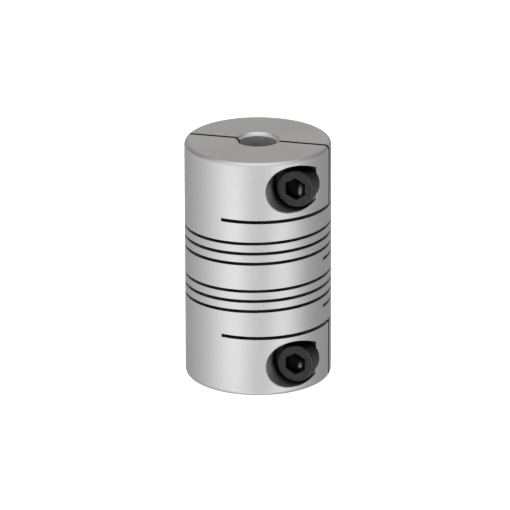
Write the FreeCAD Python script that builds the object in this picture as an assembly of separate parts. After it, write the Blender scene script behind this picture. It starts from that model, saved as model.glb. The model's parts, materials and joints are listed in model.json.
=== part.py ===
"""Clamping beam coupling, cut from one bar: two clamp hubs, two helical beams and a ring between them.

The shaft axis is Z and the origin is the coupling's centre. Each hub is split by a slit in the plane
y = 0. The clamp screws lie along Y at +X, with their heads at -Y. Lengths are in millimetres and
angles in degrees, counted from +X towards +Y. The bar is divided where it flexes, so that each
stretch that moves against its neighbour is a solid of its own.
"""

import FreeCAD, Part
import math
import os

from FreeCAD import Vector

# The turned bar
LENGTH = 64.0
OUTER_RADIUS = 19.05
END_ROUNDING = 1.3
SHAFT_RADIUS = 5.0
SHAFT_CHAMFER = 0.8
FLEX_BORE_RADIUS = 9.0
FLEX_BORE_END = 12.0

# The clamps: a slit across each end face, down to a slot sawn in from +X
SLIT_WIDTH = 1.0
RELIEF_HEIGHT = 15.9
RELIEF_WIDTH = 0.9
RELIEF_END_X = -4.9
SAW_RADIUS = 50.0

# The helical slots, one right-handed slot in each half. A half turn about X carries one to the other.
SLOT_WIDTH = 0.8
SLOT_LEAD = 2.764
SLOT_FULL_TURNS = 3
SLOT_START_ANGLE = -13.0
UPPER_SLOT_START = 2.26
BEAM_STRETCHES = 4

# M6 x 16 socket head cap screws and their holes. The counterbores are set in from the screws' axes.
SCREW_X = 13.45
SCREW_HEIGHT = 24.0
SEAT_Y = -7.3
COUNTERBORE_X = 13.0
COUNTERBORE_RADIUS = 6.2
COUNTERBORE_CHAMFER = 0.2
CLEARANCE_RADIUS = 3.3
TAPPED_RADIUS = 3.1
TAPPED_CHAMFER = 0.4
HEAD_RADIUS = 5.0
HEAD_HEIGHT = 6.0
HEAD_CHAMFER = 0.4
SOCKET_ACROSS_FLATS = 5.0
SOCKET_DEPTH = 3.0
SHANK_RADIUS = 2.93
SHANK_LENGTH = 16.0
SHANK_CHAMFER = 0.7

Z_AXIS = Vector(0, 0, 1)
CENTRE = Vector(0, 0, 0)
HALF_LENGTH = LENGTH / 2
WIDE = 2 * OUTER_RADIUS
SLOT_TURNS = SLOT_FULL_TURNS - 2 * SLOT_START_ANGLE / 360
SLOT_CLIMB = SLOT_LEAD * SLOT_TURNS
SLOT_START_HEIGHT = {"lower": -UPPER_SLOT_START - SLOT_CLIMB, "upper": UPPER_SLOT_START}
BEAM_HEIGHT = SLOT_LEAD - SLOT_WIDTH
BEAM_ANGLE = 360 * (SLOT_TURNS - 1)


def box(x, y, z):
    """A box from (low, high) pairs along each axis."""
    return Part.makeBox(x[1] - x[0], y[1] - y[0], z[1] - z[0], Vector(x[0], y[0], z[0]))


def slab(low, high):
    """Everything in the bar between two heights."""
    return box((-WIDE, WIDE), (-WIDE, WIDE), (low, high))


def revolved(edges, centre, axis):
    """The solid that a closed outline sweeps in one turn about an axis."""
    return Part.Face(Part.Wire(edges)).revolve(centre, axis, 360)


def lines(points):
    """Straight edges through a list of points."""
    return [Part.LineSegment(a, b).toShape() for a, b in zip(points, points[1:])]


def end_rounding(side):
    """The quarter arc between the bar's side and its upper (side 1) or lower (side -1) end face."""
    rise = math.sin(math.radians(45)) * END_ROUNDING
    centre_x = OUTER_RADIUS - END_ROUNDING
    centre_z = HALF_LENGTH - END_ROUNDING
    on_side = Vector(OUTER_RADIUS, 0, side * centre_z)
    middle = Vector(centre_x + rise, 0, side * (centre_z + rise))
    on_end = Vector(centre_x, 0, side * HALF_LENGTH)
    return Part.Arc(on_side, middle, on_end).toShape()


def turned_bar():
    """The bar with its stepped bore: a shaft bore in each end and a wider one between the hubs.

    Its surfaces' seams are at -X, away from the planes that divide the beams.
    """
    face_radius = OUTER_RADIUS - END_ROUNDING
    side_height = HALF_LENGTH - END_ROUNDING
    upper_bore = [
        Vector(face_radius, 0, HALF_LENGTH),
        Vector(SHAFT_RADIUS + SHAFT_CHAMFER, 0, HALF_LENGTH),
        Vector(SHAFT_RADIUS, 0, HALF_LENGTH - SHAFT_CHAMFER),
        Vector(SHAFT_RADIUS, 0, FLEX_BORE_END),
        Vector(FLEX_BORE_RADIUS, 0, FLEX_BORE_END),
    ]
    lower_bore = [Vector(p.x, 0, -p.z) for p in reversed(upper_bore)]
    side = lines([Vector(OUTER_RADIUS, 0, -side_height), Vector(OUTER_RADIUS, 0, side_height)])
    outline = side + [end_rounding(1)] + lines(upper_bore + lower_bore) + [end_rounding(-1)]
    bar = revolved(Part.__sortEdges__(outline), CENTRE, Z_AXIS)
    bar.rotate(CENTRE, Z_AXIS, 180)
    return bar


def helical_block(start_angle, sweep_angle, low, high):
    """A block that climbs with the slot. It spans the bar's wall, and low to high at its start."""
    inner = FLEX_BORE_RADIUS - 1
    outer = OUTER_RADIUS + 1
    corners = [
        Vector(inner, 0, low),
        Vector(outer, 0, low),
        Vector(outer, 0, high),
        Vector(inner, 0, high),
        Vector(inner, 0, low),
    ]
    climb = SLOT_LEAD * sweep_angle / 360
    spine = Part.makeHelix(SLOT_LEAD, climb, outer)
    block = Part.Wire(spine.Edges).makePipeShell([Part.makePolygon(corners)], True, True)
    block.rotate(CENTRE, Z_AXIS, start_angle)
    return block


def cut_slot_roof(shape, start_height):
    """Remove what lies above the slot's first turn, down to the slot's lower face."""
    low = start_height - SLOT_WIDTH / 2
    half_climb = SLOT_LEAD / 2
    first = helical_block(SLOT_START_ANGLE, 180, low, low + 2 * SLOT_LEAD)
    second = helical_block(SLOT_START_ANGLE + 180, 180, low + half_climb, low + 2 * SLOT_LEAD)
    return shape.cut(first.fuse(second))


def cut_slot_floor(shape, start_height):
    """Remove what lies below the slot's last turn, up to the slot's upper face."""
    end_angle = SLOT_START_ANGLE + 360 * SLOT_TURNS
    end_height = start_height + SLOT_CLIMB
    high = end_height - SLOT_LEAD + SLOT_WIDTH / 2
    half_climb = SLOT_LEAD / 2
    first = helical_block(end_angle, 180, high - 2 * SLOT_LEAD, high)
    second = helical_block(end_angle + 180, 180, high - 2 * SLOT_LEAD, high + half_climb)
    return shape.cut(first.fuse(second))


def beam_stretch(bar, start_height, number):
    """One stretch of the ribbon that is left between two turns of the slot."""
    sweep = BEAM_ANGLE / BEAM_STRETCHES
    low = start_height + SLOT_WIDTH / 2 + SLOT_LEAD * number * sweep / 360
    block = helical_block(SLOT_START_ANGLE + number * sweep, sweep, low, low + BEAM_HEIGHT)
    return bar.common(block)


def middle_ring(bar):
    """The solid ring between the end of the lower slot and the start of the upper one."""
    low = SLOT_START_HEIGHT["lower"] + SLOT_LEAD * (SLOT_TURNS - 1)
    high = SLOT_START_HEIGHT["upper"] + SLOT_LEAD
    ring = bar.common(slab(low, high))
    ring = cut_slot_floor(ring, SLOT_START_HEIGHT["lower"])
    return cut_slot_roof(ring, SLOT_START_HEIGHT["upper"])


def relief_slot():
    """The upper hub's saw cut, which frees both jaws of the hub except at -X.

    Its floor is round, and leaves the bar's side at RELIEF_END_X.
    """
    half_chord = math.sqrt(OUTER_RADIUS**2 - RELIEF_END_X**2)
    saw_x = RELIEF_END_X + math.sqrt(SAW_RADIUS**2 - half_chord**2)
    bottom = Vector(saw_x, 0, RELIEF_HEIGHT - RELIEF_WIDTH / 2)
    return Part.makeCylinder(SAW_RADIUS, RELIEF_WIDTH, bottom)


def lower_hub(bar):
    """The lower hub's base, which carries the lower beam's foot."""
    top = SLOT_START_HEIGHT["lower"] + SLOT_LEAD
    hub = bar.common(slab(-RELIEF_HEIGHT, top)).cut(mirrored(relief_slot()))
    return cut_slot_roof(hub, SLOT_START_HEIGHT["lower"])


def upper_hub(bar):
    """The upper hub's base, which the upper beam's head carries."""
    bottom = SLOT_START_HEIGHT["upper"] + SLOT_LEAD * (SLOT_TURNS - 1)
    hub = bar.common(slab(bottom, RELIEF_HEIGHT)).cut(relief_slot())
    return cut_slot_floor(hub, SLOT_START_HEIGHT["upper"])


def mirrored(shape):
    """The same shape for the other end of the coupling."""
    return shape.mirror(CENTRE, Z_AXIS)


def clamp_hole(x, radius, start, end):
    """A cylinder along Y at the upper clamp screw's height, between two y positions."""
    return Part.makeCylinder(radius, end - start, Vector(x, start, SCREW_HEIGHT), Vector(0, 1, 0))


def chamfer_mouth(jaw, hole_x, hole_radius, size):
    """Break the edge where a hole at the upper clamp screw's height leaves the bar's side."""
    mouth = []
    for edge in jaw.Edges:
        middle = edge.valueAt((edge.FirstParameter + edge.LastParameter) / 2)
        off_side = math.hypot(middle.x, middle.y) - OUTER_RADIUS
        off_hole = math.hypot(middle.x - hole_x, middle.z - SCREW_HEIGHT) - hole_radius
        if abs(off_side) < 0.001 and abs(off_hole) < 0.001:
            mouth.append(edge)
    return jaw.makeChamfer(size, mouth)


def front_jaw(bar):
    """The upper hub's half that the screw's head presses on."""
    half = box((-WIDE, WIDE), (-WIDE, -SLIT_WIDTH / 2), (RELIEF_HEIGHT, HALF_LENGTH + 1))
    counterbore = clamp_hole(COUNTERBORE_X, COUNTERBORE_RADIUS, -WIDE, SEAT_Y)
    clearance_hole = clamp_hole(SCREW_X, CLEARANCE_RADIUS, -WIDE, 0)
    jaw = bar.common(half).cut([relief_slot(), counterbore, clearance_hole])
    return chamfer_mouth(jaw, COUNTERBORE_X, COUNTERBORE_RADIUS, COUNTERBORE_CHAMFER)


def rear_jaw(bar):
    """The upper hub's half that the screw is threaded into."""
    half = box((-WIDE, WIDE), (SLIT_WIDTH / 2, WIDE), (RELIEF_HEIGHT, HALF_LENGTH + 1))
    tapped_hole = clamp_hole(SCREW_X, TAPPED_RADIUS, 0, WIDE)
    jaw = bar.common(half).cut([relief_slot(), tapped_hole])
    return chamfer_mouth(jaw, SCREW_X, TAPPED_RADIUS, TAPPED_CHAMFER)


def hexagon_socket():
    """The screw head's socket, with two of its corners up and down, and a drilled cone below it."""
    corner_radius = SOCKET_ACROSS_FLATS / math.sqrt(3)
    mouth = SEAT_Y - HEAD_HEIGHT
    corners = []
    for number in range(7):
        angle = math.radians(90 + 60 * number)
        x = SCREW_X + corner_radius * math.cos(angle)
        corners.append(Vector(x, mouth, SCREW_HEIGHT + corner_radius * math.sin(angle)))
    prism = Part.Face(Part.makePolygon(corners)).extrude(Vector(0, SOCKET_DEPTH, 0))
    bottom = Vector(SCREW_X, mouth + SOCKET_DEPTH, SCREW_HEIGHT)
    cone = Part.makeCone(SOCKET_ACROSS_FLATS / 2, 0, SOCKET_ACROSS_FLATS / 4, bottom, Vector(0, 1, 0))
    return prism.fuse(cone)


def clamp_screw():
    """The upper clamp screw, with its thread as a plain cylinder."""
    face = SEAT_Y - HEAD_HEIGHT
    tip = SEAT_Y + SHANK_LENGTH
    profile = [
        (0, face),
        (HEAD_RADIUS - HEAD_CHAMFER, face),
        (HEAD_RADIUS, face + HEAD_CHAMFER),
        (HEAD_RADIUS, SEAT_Y),
        (SHANK_RADIUS, SEAT_Y),
        (SHANK_RADIUS, tip - SHANK_CHAMFER),
        (SHANK_RADIUS - SHANK_CHAMFER, tip),
        (0, tip),
        (0, face),
    ]
    points = [Vector(SCREW_X + radius, y, SCREW_HEIGHT) for radius, y in profile]
    screw = revolved(lines(points), Vector(SCREW_X, 0, SCREW_HEIGHT), Vector(0, 1, 0))
    return screw.cut(hexagon_socket())


def coupling():
    """Every solid by its name."""
    bar = turned_bar()
    parts = {
        "lower_hub": lower_hub(bar),
        "middle_ring": middle_ring(bar),
        "upper_hub": upper_hub(bar),
    }
    for end, start_height in SLOT_START_HEIGHT.items():
        for number in range(BEAM_STRETCHES):
            parts[f"{end}_beam_{number + 1}"] = beam_stretch(bar, start_height, number)
    clamp = {"front_jaw": front_jaw(bar), "rear_jaw": rear_jaw(bar), "clamp_screw": clamp_screw()}
    for name, shape in clamp.items():
        parts[f"upper_{name}"] = shape
        parts[f"lower_{name}"] = mirrored(shape)
    return parts


os.makedirs("parts", exist_ok=True)
for name, shape in coupling().items():
    solids = shape.Solids
    if len(solids) != 1 or not solids[0].isValid():
        raise ValueError(f"{name} is {len(solids)} solids")
    solids[0].exportStep(f"parts/{name}.step")
    print(f"{name}: {solids[0].Volume:.1f} mm3")
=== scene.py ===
import json
import math

import bpy
from mathutils import Matrix, Vector


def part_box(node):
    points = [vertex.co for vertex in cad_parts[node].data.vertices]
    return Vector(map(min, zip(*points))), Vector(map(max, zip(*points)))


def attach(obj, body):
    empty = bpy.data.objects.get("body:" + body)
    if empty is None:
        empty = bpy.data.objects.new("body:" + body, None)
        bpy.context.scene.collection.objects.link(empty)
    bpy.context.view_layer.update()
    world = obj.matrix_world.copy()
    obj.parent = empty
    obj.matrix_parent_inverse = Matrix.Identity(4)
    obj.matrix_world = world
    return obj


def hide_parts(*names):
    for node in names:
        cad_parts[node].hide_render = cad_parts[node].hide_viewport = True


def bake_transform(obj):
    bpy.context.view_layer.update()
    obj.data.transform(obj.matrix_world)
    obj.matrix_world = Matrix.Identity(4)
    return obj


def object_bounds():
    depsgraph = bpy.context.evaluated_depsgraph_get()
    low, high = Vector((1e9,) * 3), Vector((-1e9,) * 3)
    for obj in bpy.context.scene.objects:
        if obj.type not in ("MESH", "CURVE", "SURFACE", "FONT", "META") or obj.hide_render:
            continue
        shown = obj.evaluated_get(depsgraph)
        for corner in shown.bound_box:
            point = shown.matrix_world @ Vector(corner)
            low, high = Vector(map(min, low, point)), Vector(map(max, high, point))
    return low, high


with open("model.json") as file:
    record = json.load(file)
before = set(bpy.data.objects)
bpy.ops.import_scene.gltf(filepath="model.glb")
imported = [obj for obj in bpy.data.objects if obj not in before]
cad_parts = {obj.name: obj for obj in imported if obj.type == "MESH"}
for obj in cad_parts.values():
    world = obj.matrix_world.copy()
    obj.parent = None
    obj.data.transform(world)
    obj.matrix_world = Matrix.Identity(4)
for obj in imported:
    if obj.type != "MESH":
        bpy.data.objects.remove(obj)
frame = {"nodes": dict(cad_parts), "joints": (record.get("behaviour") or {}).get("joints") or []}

CAD_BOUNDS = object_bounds()

MM = 0.001
ENDS = {"lower": -1, "upper": 1}
JOINTS = {joint["name"]: joint for joint in frame["joints"]}

# The turned bar and its helical slots, in metres and radians
OUTER_RADIUS = CAD_BOUNDS[1][0]
SHAFT_RADIUS = 5.0 * MM
FLEX_BORE_RADIUS = 9.0 * MM
BEAM_HEIGHT = 1.964 * MM
LEAD = 2.764 * MM
SLOT_TURNS = 3 + 26 / 360
SLOT_START = math.radians(-13.0)
SLOT_START_HEIGHT = {"lower": -2.26 * MM - LEAD * SLOT_TURNS, "upper": 2.26 * MM}
STRETCHES = 4
STRETCH_TURNS = (SLOT_TURNS - 1) / STRETCHES
BEAM_EDGE = 0.06 * MM
BEAM_STEPS = 120

# The slit across each hub, down to the relief slot below its jaws
SLIT_WIDTH = 1.0 * MM
RELIEF_HEIGHT = 15.9 * MM
RELIEF_WIDTH = 0.9 * MM

# The M6 clamp screws and their holes
SCREW_X, SEAT_Y, SCREW_HEIGHT = JOINTS["upper_screw_turn"]["pos_m"]
TIP_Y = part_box("upper_clamp_screw")[1][1]
HEAD_RADIUS = 5.0 * MM
HEAD_HEIGHT = 6.0 * MM
FACE_Y = SEAT_Y - HEAD_HEIGHT
HEAD_RIM = 0.55 * MM
KNURL_TEETH = 48
KNURL_DEPTH = 0.13 * MM
SOCKET_RADIUS = 2.5 * MM
SOCKET_DEPTH = 3.0 * MM
PITCH = 1.0 * MM
STEPS_PER_PITCH = 12
SHANK_CREST = 2.93 * MM
SHANK_ROOT = 2.45 * MM
SHANK_RUN_IN = 1.2 * MM
TIP_RADIUS = 2.1 * MM
TAPPED_RADIUS = 3.1 * MM
TAPPED_CREST = 2.6 * MM
COUNTERBORE_X = 13.0 * MM
COUNTERBORE_RADIUS = 6.2 * MM

# Colours of the finishes, of the painted shade and highlights, and of the studio's light
BLACK = (0.0, 0.0, 0.0)
CUT_ALUMINIUM = [(0.32, (0.70, 0.70, 0.70)), (0.68, (0.78, 0.78, 0.785))]
ALUMINIUM_EDGE = (0.90, 0.90, 0.91)
# Painted shade on the faces of the slits across the hubs
SLIT_SHADE = (0.16, 0.16, 0.16)
BLACK_OXIDE = [(0.35, (0.020, 0.019, 0.020)), (0.70, (0.046, 0.044, 0.046))]
RUBBED_STEEL = (0.20, 0.195, 0.19)
# Painted highlight on the right side of the screw heads' rims
RIM_HIGHLIGHT = (0.10, 0.098, 0.095)
# Painted highlight on the sockets' floors
SOCKET_HIGHLIGHT = (0.33, 0.32, 0.31)
WHITE_LIGHT = (1.0, 1.0, 1.0)
WARM_LIGHT = (1.05, 1.03, 0.97)
OVERHEAD_LIGHT = (1.10, 1.10, 1.10)


# ---------------------------------------------------------------- meshes

def new_piece(name, vertices, faces, material, smooth_angle=35):
    """A mesh object with one material, smooth except where its faces meet sharply."""
    mesh = bpy.data.meshes.new(name)
    mesh.from_pydata(vertices, [], faces)
    mesh.validate()
    mesh.materials.append(material)
    mesh.shade_smooth()
    mesh.set_sharp_from_angle(angle=math.radians(smooth_angle))
    piece = bpy.data.objects.new(name, mesh)
    bpy.context.scene.collection.objects.link(piece)
    return piece


def ring_faces(rings, count):
    """Quads between successive rings of count vertices each, from the rings' numbers."""
    faces = []
    for low, high in zip(rings, rings[1:]):
        for i in range(count):
            j = (i + 1) % count
            faces.append((low * count + i, low * count + j, high * count + j, high * count + i))
    return faces


def capped(rings, count):
    """The faces of a closed piece made of this many rings of count vertices each."""
    first = tuple(range(count))
    last = tuple(reversed(range((rings - 1) * count, rings * count)))
    return ring_faces(range(rings), count) + [first, last]


# ---------------------------------------------------------------- the helical beams

def beam_section():
    """The ribbon's section as (radius, height above its middle), with its outer edges broken."""
    half = BEAM_HEIGHT / 2
    return [
        (FLEX_BORE_RADIUS, -half),
        (OUTER_RADIUS - BEAM_EDGE, -half),
        (OUTER_RADIUS, -half + BEAM_EDGE),
        (OUTER_RADIUS, half - BEAM_EDGE),
        (OUTER_RADIUS - BEAM_EDGE, half),
        (FLEX_BORE_RADIUS, half),
    ]


def beam_stretch(end, number, material):
    """One stretch of the ribbon that is left between the slot's turns."""
    section = beam_section()
    base = SLOT_START_HEIGHT[end] + LEAD / 2
    vertices = []
    for step in range(BEAM_STEPS + 1):
        turns = STRETCH_TURNS * (number + step / BEAM_STEPS)
        angle = SLOT_START + 2 * math.pi * turns
        for radius, height in section:
            x = radius * math.cos(angle)
            y = radius * math.sin(angle)
            vertices.append((x, y, base + LEAD * turns + height))
    faces = capped(BEAM_STEPS + 1, len(section))
    return new_piece(f"{end}_ribbon_{number + 1}", vertices, faces, material)


def bend_stretch(piece, end, number):
    """Hide the CAD beam that a stretch stands in for, and bake the stretch's transform."""
    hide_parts(f"{end}_beam_{number + 1}")
    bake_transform(piece)


# ---------------------------------------------------------------- the clamp screws

def around_screw(radius, angle, y, height):
    """A point about a clamp screw's axis. The angle turns by the right-hand rule about +Y, from +Z."""
    return (SCREW_X + radius * math.sin(angle), y, height + radius * math.cos(angle))


def hexagon_radius(angle, flat_radius):
    """How far a hexagon with a corner at angle 0 reaches at an angle."""
    side = math.radians(60)
    return flat_radius / math.cos((angle % side) - side / 2)


def screw_head(end, height, material):
    """A knurled socket head: flat seat, knurled side, rounded rim, chamfered hexagon socket.

    Each ring is its radius, its y, how deep its knurling is, and whether it is a hexagon.
    """
    count = KNURL_TEETH * 6
    underside = SEAT_Y - 0.01 * MM
    side = HEAD_RADIUS - 0.02 * MM
    rim_start = side - 0.03 * MM
    rings = [
        (2.0 * MM, underside, 0, False),
        (side - 0.12 * MM, underside, 0, False),
        (side, SEAT_Y - 0.12 * MM, 0, False),
        (side, SEAT_Y - 0.5 * MM, 1, False),
        (side, FACE_Y + HEAD_RIM + 0.35 * MM, 1, False),
        (rim_start, FACE_Y + HEAD_RIM, 0.3, False),
    ]
    for step in range(1, 7):
        turn = math.radians(90) * step / 6
        radius = rim_start - HEAD_RIM * (1 - math.cos(turn))
        rings.append((radius, FACE_Y + HEAD_RIM * (1 - math.sin(turn)), 0, False))
    rings += [
        (SOCKET_RADIUS + 0.75 * MM, FACE_Y, 0, False),
        (SOCKET_RADIUS + 0.16 * MM, FACE_Y, 0, True),
        (SOCKET_RADIUS, FACE_Y + 0.22 * MM, 0, True),
        (SOCKET_RADIUS, FACE_Y + SOCKET_DEPTH, 0, True),
        (SOCKET_RADIUS * 0.97, FACE_Y + SOCKET_DEPTH, 0, False),
        (0.3 * MM, FACE_Y + SOCKET_DEPTH + 1.1 * MM, 0, False),
        (0.02 * MM, FACE_Y + SOCKET_DEPTH + 1.2 * MM, 0, False),
    ]
    vertices = []
    for radius, y, knurl, hexagonal in rings:
        for i in range(count):
            angle = 2 * math.pi * i / count
            reach = hexagon_radius(angle, radius) if hexagonal else radius
            groove = (1 - math.cos(angle * KNURL_TEETH)) / 2
            reach -= knurl * KNURL_DEPTH * groove ** 0.7
            vertices.append(around_screw(reach, angle, y, height))
    return new_piece(f"{end}_screw_head", vertices, capped(len(rings), count), material,
                     smooth_angle=28)


def thread_radius(phase, crest, root):
    """The radius of a 60 degree thread at a phase from 0 to 1 of its pitch."""
    rise = min(phase, 1 - phase) * 2
    flank = min(max((rise - 0.12) / 0.7, 0), 1)
    return root + (crest - root) * flank


def screw_shank(end, height, material):
    """The threaded shank, plain just under the head and chamfered at its tip."""
    count = 72
    steps = round((TIP_Y - SEAT_Y) / PITCH * STEPS_PER_PITCH)
    vertices = []
    for step in range(steps + 1):
        y = SEAT_Y + (TIP_Y - SEAT_Y) * step / steps
        chamfer_limit = TIP_RADIUS + (TIP_Y - y)
        for i in range(count):
            angle = 2 * math.pi * i / count
            phase = (y / PITCH - i / count) % 1
            radius = thread_radius(phase, SHANK_CREST, SHANK_ROOT)
            if y < SEAT_Y + SHANK_RUN_IN:
                radius = SHANK_CREST
            vertices.append(around_screw(min(radius, chamfer_limit), angle, y, height))
    return new_piece(f"{end}_screw_shank", vertices, capped(steps + 1, count), material,
                     smooth_angle=40)


def hole_thread(end, height, material):
    """The thread that shows in the tapped hole, from the screw's tip to the hole's chamfer.

    It is a sleeve: the threaded rings come first, then two plain rings for its outside.
    """
    count = 96
    start = TIP_Y + 0.5 * MM
    steps = 9 * STEPS_PER_PITCH
    vertices = []
    for step in range(steps + 1):
        for i in range(count):
            angle = 2 * math.pi * i / count
            x = SCREW_X + TAPPED_RADIUS * math.sin(angle)
            mouth = math.sqrt(OUTER_RADIUS ** 2 - x ** 2) - 0.45 * MM
            y = start + (mouth - start) * step / steps
            phase = (y / PITCH - i / count) % 1
            radius = thread_radius(phase, TAPPED_RADIUS, TAPPED_CREST)
            opening = max(0, 1 - (mouth - y) / (0.5 * MM))
            radius += (TAPPED_RADIUS - radius) * opening
            vertices.append(around_screw(radius, angle, y, height))
    for step in (steps, 0):
        for i in range(count):
            angle = 2 * math.pi * i / count
            y = vertices[step * count + i][1]
            vertices.append(around_screw(TAPPED_RADIUS + 0.02 * MM, angle, y, height))
    rings = [*range(steps + 3), 0]
    faces = [tuple(reversed(face)) for face in ring_faces(rings, count)]
    return new_piece(f"{end}_hole_thread", vertices, faces, material, smooth_angle=40)


# ---------------------------------------------------------------- materials

def link(tree, source, target):
    tree.links.new(source, target)


def math_node(tree, operation, *values):
    """A Math node whose inputs are numbers or other nodes' outputs."""
    node = tree.nodes.new("ShaderNodeMath")
    node.operation = operation
    for socket, value in zip(node.inputs, values):
        if isinstance(value, (int, float)):
            socket.default_value = value
        else:
            link(tree, value, socket)
    return node.outputs[0]


def noise(tree, vector, scale, detail, roughness):
    node = tree.nodes.new("ShaderNodeTexNoise")
    node.inputs["Scale"].default_value = scale
    node.inputs["Detail"].default_value = detail
    node.inputs["Roughness"].default_value = roughness
    link(tree, vector, node.inputs["Vector"])
    return node.outputs["Fac"]


def remap(tree, value, low, high, to_low, to_high):
    """Carry a value from one range to another, held within the second."""
    node = tree.nodes.new("ShaderNodeMapRange")
    node.inputs["From Min"].default_value = low
    node.inputs["From Max"].default_value = high
    node.inputs["To Min"].default_value = to_low
    node.inputs["To Max"].default_value = to_high
    link(tree, value, node.inputs["Value"])
    return node.outputs["Result"]


def ramp(tree, value, stops):
    """Colours along a value, from (position, colour) stops."""
    node = tree.nodes.new("ShaderNodeValToRGB")
    elements = node.color_ramp.elements
    while len(elements) < len(stops):
        elements.new(0.5)
    for element, (position, colour) in zip(elements, stops):
        element.position = position
        element.color = (*colour, 1)
    link(tree, value, node.inputs["Fac"])
    return node


def combine(tree, x, y, z):
    """A vector whose parts are numbers or other nodes' outputs."""
    node = tree.nodes.new("ShaderNodeCombineXYZ")
    for socket, value in zip(node.inputs, (x, y, z)):
        if isinstance(value, (int, float)):
            socket.default_value = value
        else:
            link(tree, value, socket)
    return node.outputs[0]


def bump(tree, height, strength, distance, normal):
    node = tree.nodes.new("ShaderNodeBump")
    node.inputs["Strength"].default_value = strength
    node.inputs["Distance"].default_value = distance
    link(tree, height, node.inputs["Height"])
    link(tree, normal, node.inputs["Normal"])
    return node.outputs[0]


def rounded_normal(tree, radius):
    """Normals that turn smoothly over an edge, as if it had been broken to this radius."""
    node = tree.nodes.new("ShaderNodeBevel")
    node.samples = 6
    node.inputs["Radius"].default_value = radius
    return node.outputs[0]


def dot_product(tree, vector, other):
    """The dot product of a node's output with another output or with a fixed vector."""
    node = tree.nodes.new("ShaderNodeVectorMath")
    node.operation = "DOT_PRODUCT"
    link(tree, vector, node.inputs[0])
    if isinstance(other, Vector):
        node.inputs[1].default_value = other
    else:
        link(tree, other, node.inputs[1])
    return node.outputs["Value"]


def true_normal(tree):
    return tree.nodes.new("ShaderNodeNewGeometry").outputs["Normal"]


def edge_mask(tree, rounded):
    """1 on a sharp edge and 0 away from it."""
    return remap(tree, dot_product(tree, rounded, true_normal(tree)), 0.97, 0.80, 0.0, 1.0)


def below(tree, value, limit, width):
    """1 where a value is below a limit and 0 where it is above, with a soft step between."""
    return remap(tree, value, limit - width / 2, limit + width / 2, 1.0, 0.0)


def mix(tree, kind, factor, first, second):
    """The first of two outputs, turning into the second as the factor goes from 0 to 1."""
    node = tree.nodes.new("ShaderNodeMix")
    node.data_type = kind
    link(tree, factor, node.inputs["Factor"])
    link(tree, first, node.inputs["A"])
    link(tree, second, node.inputs["B"])
    return node.outputs["Result"]


def mix_colour(tree, factor, first, second):
    """A colour that turns into a fixed second colour as the factor goes from 0 to 1."""
    node = tree.nodes.new("ShaderNodeMix")
    node.data_type = "RGBA"
    link(tree, factor, node.inputs["Factor"])
    link(tree, first, node.inputs["A"])
    node.inputs["B"].default_value = (*second, 1)
    return node.outputs["Result"]


def product(tree, *values):
    """The product of numbers and other nodes' outputs."""
    total = values[0]
    for value in values[1:]:
        total = math_node(tree, "MULTIPLY", total, value)
    return total


def invert(tree, value):
    return math_node(tree, "SUBTRACT", 1.0, value)


def size_of(tree, value):
    return math_node(tree, "ABSOLUTE", value)


def sum_of_squares(tree, first, second):
    return math_node(tree, "ADD", product(tree, first, first), product(tree, second, second))


def node_material(name):
    """A new material, as (material, node tree, its shader)."""
    material = bpy.data.materials.new(name)
    material.use_nodes = True
    tree = material.node_tree
    return material, tree, tree.nodes["Principled BSDF"]


def object_coordinates(tree):
    """A point's position on its own piece, whole and as x, y and z."""
    coordinates = tree.nodes.new("ShaderNodeTexCoord").outputs["Object"]
    split = tree.nodes.new("ShaderNodeSeparateXYZ")
    link(tree, coordinates, split.inputs[0])
    return coordinates, *split.outputs


def turned_coordinates(tree, x, y):
    """Radius and angle about the shaft axis, and the direction round it that tool marks follow."""
    radius = math_node(tree, "SQRT", sum_of_squares(tree, x, y))
    angle = math_node(tree, "ARCTAN2", y, x)
    around = combine(tree, product(tree, y, -1.0), x, 0.0)
    return radius, angle, around


def distance_from_axis(tree, x, z, axis_x):
    """How far a point is from the axis, along Y at the clamp screws' height, through a given x."""
    across = math_node(tree, "SUBTRACT", x, axis_x)
    above = math_node(tree, "SUBTRACT", size_of(tree, z), SCREW_HEIGHT)
    return math_node(tree, "SQRT", sum_of_squares(tree, across, above))


def above_screw(tree, z):
    """How far a point is above the axis of the clamp screw in its half of the coupling."""
    return math_node(tree, "SUBTRACT", z, product(tree, math_node(tree, "SIGN", z), SCREW_HEIGHT))


def pocket_mask(tree, x, y, z):
    """Where the pocket's painted shade goes: 1 in the pockets that hold the screws' heads, and 0.75 low
    down near the bar's outside.
    """
    from_axis = distance_from_axis(tree, x, z, COUNTERBORE_X)
    near = below(tree, from_axis, COUNTERBORE_RADIUS + 0.12 * MM, 0.1 * MM)
    open_side = math_node(tree, "MAXIMUM", remap(tree, x, 14.5 * MM, 16.5 * MM, 1.0, 0.75),
                          remap(tree, above_screw(tree, z), -1 * MM, 1 * MM, 0.75, 1.0))
    return product(tree, near, below(tree, y, SEAT_Y + 0.2 * MM, 0.1 * MM), open_side)


def painted_pocket_shade(tree, y):
    """Painted shade on the pocket's wall at a y position: darkest beside the head."""
    place = remap(tree, y, -18 * MM, SEAT_Y, 0.0, 1.0)
    shades = [(0.40, 0.0), (0.53, 0.10), (0.62, 0.40), (0.70, 0.82), (0.77, 0.93), (1.0, 0.90)]
    stops = [(position, (shade, shade, shade)) for position, shade in shades]
    return ramp(tree, place, stops).outputs["Color"]


def tool_marks(tree, radius, height, angle):
    """Marks that change fast across the cut and slowly along it, as fine and coarse ones together."""
    along = product(tree, math_node(tree, "COSINE", angle), 0.4)
    layers = []
    for scale, roughness, share in ((16000.0, 0.6, 0.6), (2400.0, 0.5, 0.4)):
        place = combine(tree, product(tree, radius, scale), product(tree, height, scale), along)
        layers.append(product(tree, noise(tree, place, 1.0, 2.0, roughness), share))
    return math_node(tree, "ADD", *layers)


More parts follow.
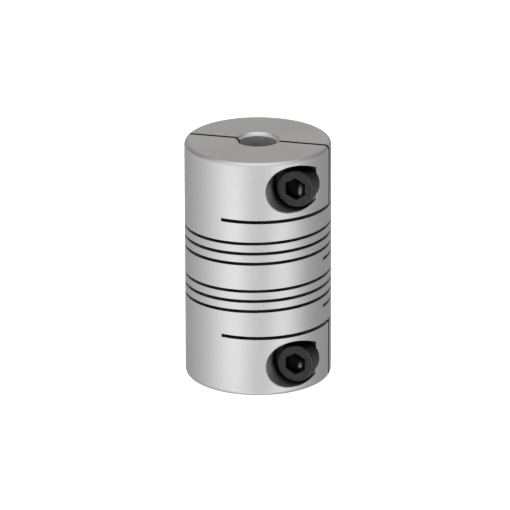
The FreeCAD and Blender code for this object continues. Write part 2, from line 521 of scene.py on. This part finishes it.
def jaw_joint_mask(tree, z):
    """1 where a jaw meets its hub: they are one piece of metal, and no edge shows there."""
    away = size_of(tree, math_node(tree, "SUBTRACT", size_of(tree, z), RELIEF_HEIGHT))
    return below(tree, away, 0.18 * MM, 0.06 * MM)


def machined_aluminium():
    """Aluminium turned on a lathe: fine tool marks run round the bar, and rings round its end faces."""
    material, tree, shader = node_material("machined_aluminium")
    coordinates, x, y, z = object_coordinates(tree)
    radius, angle, around = turned_coordinates(tree, x, y)
    shader.inputs["Metallic"].default_value = 1.0
    shader.inputs["Anisotropic"].default_value = 0.55
    link(tree, around, shader.inputs["Tangent"])
    marks = tool_marks(tree, radius, z, angle)
    cloud = noise(tree, coordinates, 130.0, 3.0, 0.55)
    grain = noise(tree, coordinates, 4200.0, 2.0, 0.5)
    rounded = rounded_normal(tree, 0.10 * MM)
    rounded = mix(tree, "VECTOR", jaw_joint_mask(tree, z), rounded, true_normal(tree))
    edge = edge_mask(tree, rounded)

    jaws_start = RELIEF_HEIGHT + RELIEF_WIDTH / 2 - 0.05 * MM
    in_jaws = invert(tree, below(tree, size_of(tree, z), jaws_start, 0.1 * MM))
    near_slit = below(tree, size_of(tree, y), SLIT_WIDTH / 2 + 0.08 * MM, 0.08 * MM)
    in_slit = product(tree, in_jaws, near_slit)
    in_bore = product(tree, in_jaws, below(tree, radius, SHAFT_RADIUS + 0.4 * MM, 0.4 * MM))
    inside = below(tree, radius, OUTER_RADIUS - 0.08 * MM, 0.06 * MM)
    in_pocket = product(tree, inside, pocket_mask(tree, x, y, z))

    mottle = math_node(tree, "ADD", product(tree, marks, 0.7), product(tree, grain, 0.3))
    colour = ramp(tree, mottle, CUT_ALUMINIUM).outputs["Color"]
    colour = mix_colour(tree, product(tree, edge, 0.6), colour, ALUMINIUM_EDGE)
    # Painted shade: the pockets' walls are darkened towards black beside the screws' heads.
    colour = mix_colour(tree, product(tree, in_pocket, painted_pocket_shade(tree, y)), colour, BLACK)
    # Painted shade: the slits' faces are darkened to a dark grey.
    link(tree, mix_colour(tree, in_slit, colour, SLIT_SHADE), shader.inputs["Base Color"])

    roughness = math_node(tree, "ADD", remap(tree, marks, 0.3, 0.7, 0.30, 0.37),
                          remap(tree, cloud, 0.3, 0.7, -0.02, 0.03))
    for mask, change in ((in_bore, 0.25), (in_pocket, 0.16), (edge, -0.08)):
        roughness = math_node(tree, "ADD", roughness, product(tree, mask, change))
    link(tree, roughness, shader.inputs["Roughness"])
    link(tree, bump(tree, marks, 0.08, 0.03 * MM, rounded), shader.inputs["Normal"])
    return material


def painted_socket_highlight(tree, x, z):
    """1 where a highlight is painted on the socket's floor, less far in the lower screw."""
    across = math_node(tree, "SUBTRACT", x, SCREW_X + 0.45 * MM)
    across = math_node(tree, "DIVIDE", across, 0.50 * MM)
    end = math_node(tree, "SIGN", z)
    drop = math_node(tree, "MULTIPLY_ADD", end, -0.2 * MM, 1.3 * MM)
    half_length = math_node(tree, "MULTIPLY_ADD", end, 0.4 * MM, 1.1 * MM)
    above = math_node(tree, "DIVIDE", math_node(tree, "ADD", above_screw(tree, z), drop), half_length)
    patch = remap(tree, sum_of_squares(tree, across, above), 0.2, 1.5, 1.0, 0.0)
    return product(tree, patch, remap(tree, above, -0.6, 0.5, 1.0, 0.35))


def black_oxide_steel():
    """Black oxide on steel: near black and half glossy, a little greyer where its edges are rubbed, with
    painted shade on the head's side and in the socket and painted highlights on the rim and the socket's
    floor.
    """
    material, tree, shader = node_material("black_oxide_steel")
    coordinates, x, y, z = object_coordinates(tree)
    shader.inputs["Metallic"].default_value = 0.7
    cloud = noise(tree, coordinates, 900.0, 4.0, 0.6)
    grain = noise(tree, coordinates, 6500.0, 2.0, 0.5)
    rounded = rounded_normal(tree, 0.08 * MM)
    from_axis = distance_from_axis(tree, x, z, SCREW_X)

    behind_rim = math_node(tree, "GREATER_THAN", y, FACE_Y + 0.75 * MM)
    off_centre = invert(tree, below(tree, from_axis, 4.7 * MM, 0.1 * MM))
    on_side = product(tree, behind_rim, off_centre, below(tree, x, 18.0 * MM, 1.0 * MM))
    in_socket = product(tree, below(tree, from_axis, SOCKET_RADIUS + 0.45 * MM, 0.1 * MM),
                        math_node(tree, "COMPARE", y, FACE_Y + 2.4 * MM, 2.2 * MM))
    on_floor = math_node(tree, "GREATER_THAN", y, FACE_Y + 2.7 * MM)
    # Painted highlight on the rim's right side.
    rim_highlight = product(tree, math_node(tree, "COMPARE", from_axis, 4.55 * MM, 0.15 * MM),
                     remap(tree, x, SCREW_X + 2 * MM, SCREW_X + 4 * MM, 0.0, 0.6),
                     below(tree, y, FACE_Y + 0.7 * MM, 0.2 * MM))
    # Painted shade: the head's side inside the pocket and the socket's walls are darkened towards black,
    # with less specular reflection.
    shade = math_node(tree, "MAXIMUM", product(tree, on_side, 0.88), product(tree, in_socket, 0.80))

    rubbed = product(tree, edge_mask(tree, rounded), remap(tree, cloud, 0.4, 0.65, 0.15, 0.6))
    colour = mix_colour(tree, rubbed, ramp(tree, cloud, BLACK_OXIDE).outputs["Color"], RUBBED_STEEL)
    colour = mix_colour(tree, shade, colour, BLACK)
    colour = mix_colour(tree, rim_highlight, colour, RIM_HIGHLIGHT)
    # Painted highlight: a bright patch on the socket's floor.
    colour = mix_colour(tree, product(tree, in_socket, painted_socket_highlight(tree, x, z), on_floor), colour, SOCKET_HIGHLIGHT)
    link(tree, colour, shader.inputs["Base Color"])
    link(tree, product(tree, invert(tree, shade), 0.5), shader.inputs["Specular IOR Level"])
    link(tree, remap(tree, cloud, 0.3, 0.7, 0.30, 0.46), shader.inputs["Roughness"])
    link(tree, bump(tree, grain, 0.12, 0.02 * MM, rounded), shader.inputs["Normal"])
    return material


def pale_floor():
    """A matt, nearly white surface."""
    material, tree, shader = node_material("pale_floor")
    shader.inputs["Base Color"].default_value = (0.9, 0.9, 0.9, 1)
    shader.inputs["Roughness"].default_value = 0.9
    shader.inputs["Specular IOR Level"].default_value = 0.1
    return material


# ---------------------------------------------------------------- the coupling

aluminium = machined_aluminium()
black_oxide = black_oxide_steel()

for node in frame["nodes"].values():
    for slot in node.material_slots:
        slot.material = aluminium

for end, side in ENDS.items():
    for number in range(STRETCHES):
        bend_stretch(beam_stretch(end, number, aluminium), end, number)
    screw_height = side * SCREW_HEIGHT
    head = screw_head(end, screw_height, black_oxide)
    shank = screw_shank(end, screw_height, black_oxide)
    for piece in (head, shank):
        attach(piece, f"{end}_clamp_screw")
    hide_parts(f"{end}_clamp_screw")
    thread = hole_thread(end, screw_height, aluminium)
    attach(thread, f"{end}_rear_jaw")


# ---------------------------------------------------------------- stage, camera and light

VIEW_AZIMUTH = 15.0
VIEW_ELEVATION = 20.04
VIEW_ROLL = math.radians(-0.147)
VIEW_DISTANCE = 1.534
VIEW_SHIFT = (-0.791 * MM, 0.141 * MM)
FOCAL_LENGTH = 415.73
FLOOR_REACH = 6.0
FLOOR_LIGHT_WIDTH = 3.0
FLOOR_LIGHT_HEIGHT = 2.5
FLOOR_LIGHT_POWER = 95
OVERHEAD_ELEVATION = 76


def view_direction(azimuth, elevation):
    """The direction from the coupling to a place, its azimuth counted from the camera to the right."""
    turn = math.radians(VIEW_AZIMUTH + azimuth)
    rise = math.radians(elevation)
    return Vector((math.sin(turn) * math.cos(rise), -math.cos(turn) * math.cos(rise), math.sin(rise)))


def floor():
    """A wide pale floor under the coupling, which doesn't show in its reflections."""
    height = CAD_BOUNDS[0][2]
    signs = [(-1, -1), (1, -1), (1, 1), (-1, 1)]
    corners = [(x * FLOOR_REACH, y * FLOOR_REACH, height) for x, y in signs]
    ground = new_piece("floor", corners, [(0, 1, 2, 3)], pale_floor())
    ground.visible_glossy = False
    return ground


def camera():
    """A long lens, a little above the coupling, which looks near its centre."""
    back = view_direction(0, VIEW_ELEVATION)
    level = view_direction(90, 0)
    rise = back.cross(level)
    target = level * VIEW_SHIFT[0] + rise * VIEW_SHIFT[1]
    right = level * math.cos(VIEW_ROLL) + rise * math.sin(VIEW_ROLL)
    up = rise * math.cos(VIEW_ROLL) - level * math.sin(VIEW_ROLL)
    data = bpy.data.cameras.new("camera")
    data.lens = FOCAL_LENGTH
    data.sensor_width = 36
    data.clip_start = 0.01
    viewer = bpy.data.objects.new("camera", data)
    bpy.context.scene.collection.objects.link(viewer)
    turned = Matrix((right, up, back)).transposed().to_4x4()
    viewer.matrix_world = Matrix.Translation(target + back * VIEW_DISTANCE) @ turned
    bpy.context.scene.camera = viewer


# The walls' brightness as (azimuth from the camera in degrees, level), below and above the horizon
LOW_WALLS = [
    (-180, 0.42), (-142, 0.41), (-100, 0.58), (-65, 0.90), (-45, 1.17), (-31, 1.30), (-18, 0.88),
    (5, 0.72), (18, 0.76), (30, 1.22), (42, 1.14), (60, 0.82), (80, 0.48), (105, 0.38), (150, 0.36),
    (180, 0.42),
]
HIGH_WALLS = [
    (-180, 0.43), (-155, 0.39), (-135, 0.24), (-108, 0.24), (-80, 0.56), (-45, 0.92), (-31, 1.00),
    (-18, 0.80), (5, 0.74), (18, 0.76), (30, 0.95), (50, 0.80), (80, 0.40), (108, 0.24), (135, 0.24),
    (155, 0.39), (180, 0.43),
]


def wall_ramp(tree, turn, stops, tint_behind):
    """The walls' brightness round the coupling, from (azimuth from the camera, level) stops."""
    colours = []
    for degrees, level in stops:
        tint = tint_behind if abs(degrees) >= 150 else WHITE_LIGHT
        colours.append((degrees / 360 + 0.5, tuple(level * share for share in tint)))
    walls = ramp(tree, turn, colours)
    walls.color_ramp.interpolation = "EASE"
    return walls.outputs["Color"]


def studio():
    """Walls of light below and above the horizon, and a soft light overhead in front of the coupling."""
    surroundings = bpy.data.worlds.new("studio")
    surroundings.use_nodes = True
    tree = surroundings.node_tree
    direction = tree.nodes.new("ShaderNodeTexCoord").outputs["Generated"]
    azimuth = math_node(tree, "ARCTAN2", dot_product(tree, direction, view_direction(90, 0)),
                        dot_product(tree, direction, view_direction(0, 0)))
    turn = math_node(tree, "MULTIPLY_ADD", azimuth, 1 / (2 * math.pi), 0.5)
    low_walls = wall_ramp(tree, turn, LOW_WALLS, WHITE_LIGHT)
    high_walls = wall_ramp(tree, turn, HIGH_WALLS, WARM_LIGHT)
    height = dot_product(tree, direction, Vector((0, 0, 1)))
    walls = mix(tree, "RGBA", remap(tree, height, -0.05, 0.15, 0.0, 1.0), low_walls, high_walls)
    towards_light = dot_product(tree, direction, view_direction(0, OVERHEAD_ELEVATION))
    overhead = remap(tree, towards_light, 0.78, 0.94, 0.0, 1.0)
    lit = mix_colour(tree, overhead, walls, OVERHEAD_LIGHT)
    link(tree, lit, tree.nodes["Background"].inputs["Color"])
    tree.nodes["Background"].inputs["Strength"].default_value = 1.0
    bpy.context.scene.world = surroundings


def floor_light(ground):
    """A wide light overhead for the floor alone, which casts no shadow."""
    data = bpy.data.lights.new("floor_light", "AREA")
    data.shape = "SQUARE"
    data.size = FLOOR_LIGHT_WIDTH
    data.energy = FLOOR_LIGHT_POWER
    light = bpy.data.objects.new("floor_light", data)
    bpy.context.scene.collection.objects.link(light)
    light.location = (0, 0, FLOOR_LIGHT_HEIGHT)
    receivers = bpy.data.collections.new("lit_by_floor_light")
    receivers.objects.link(ground)
    light.light_linking.receiver_collection = receivers
    blockers = bpy.data.collections.new("in_the_way_of_floor_light")
    blockers.objects.link(ground)
    light.light_linking.blocker_collection = blockers


ground = floor()
camera()
studio()
floor_light(ground)
bpy.context.scene.view_settings.view_transform = "Standard"
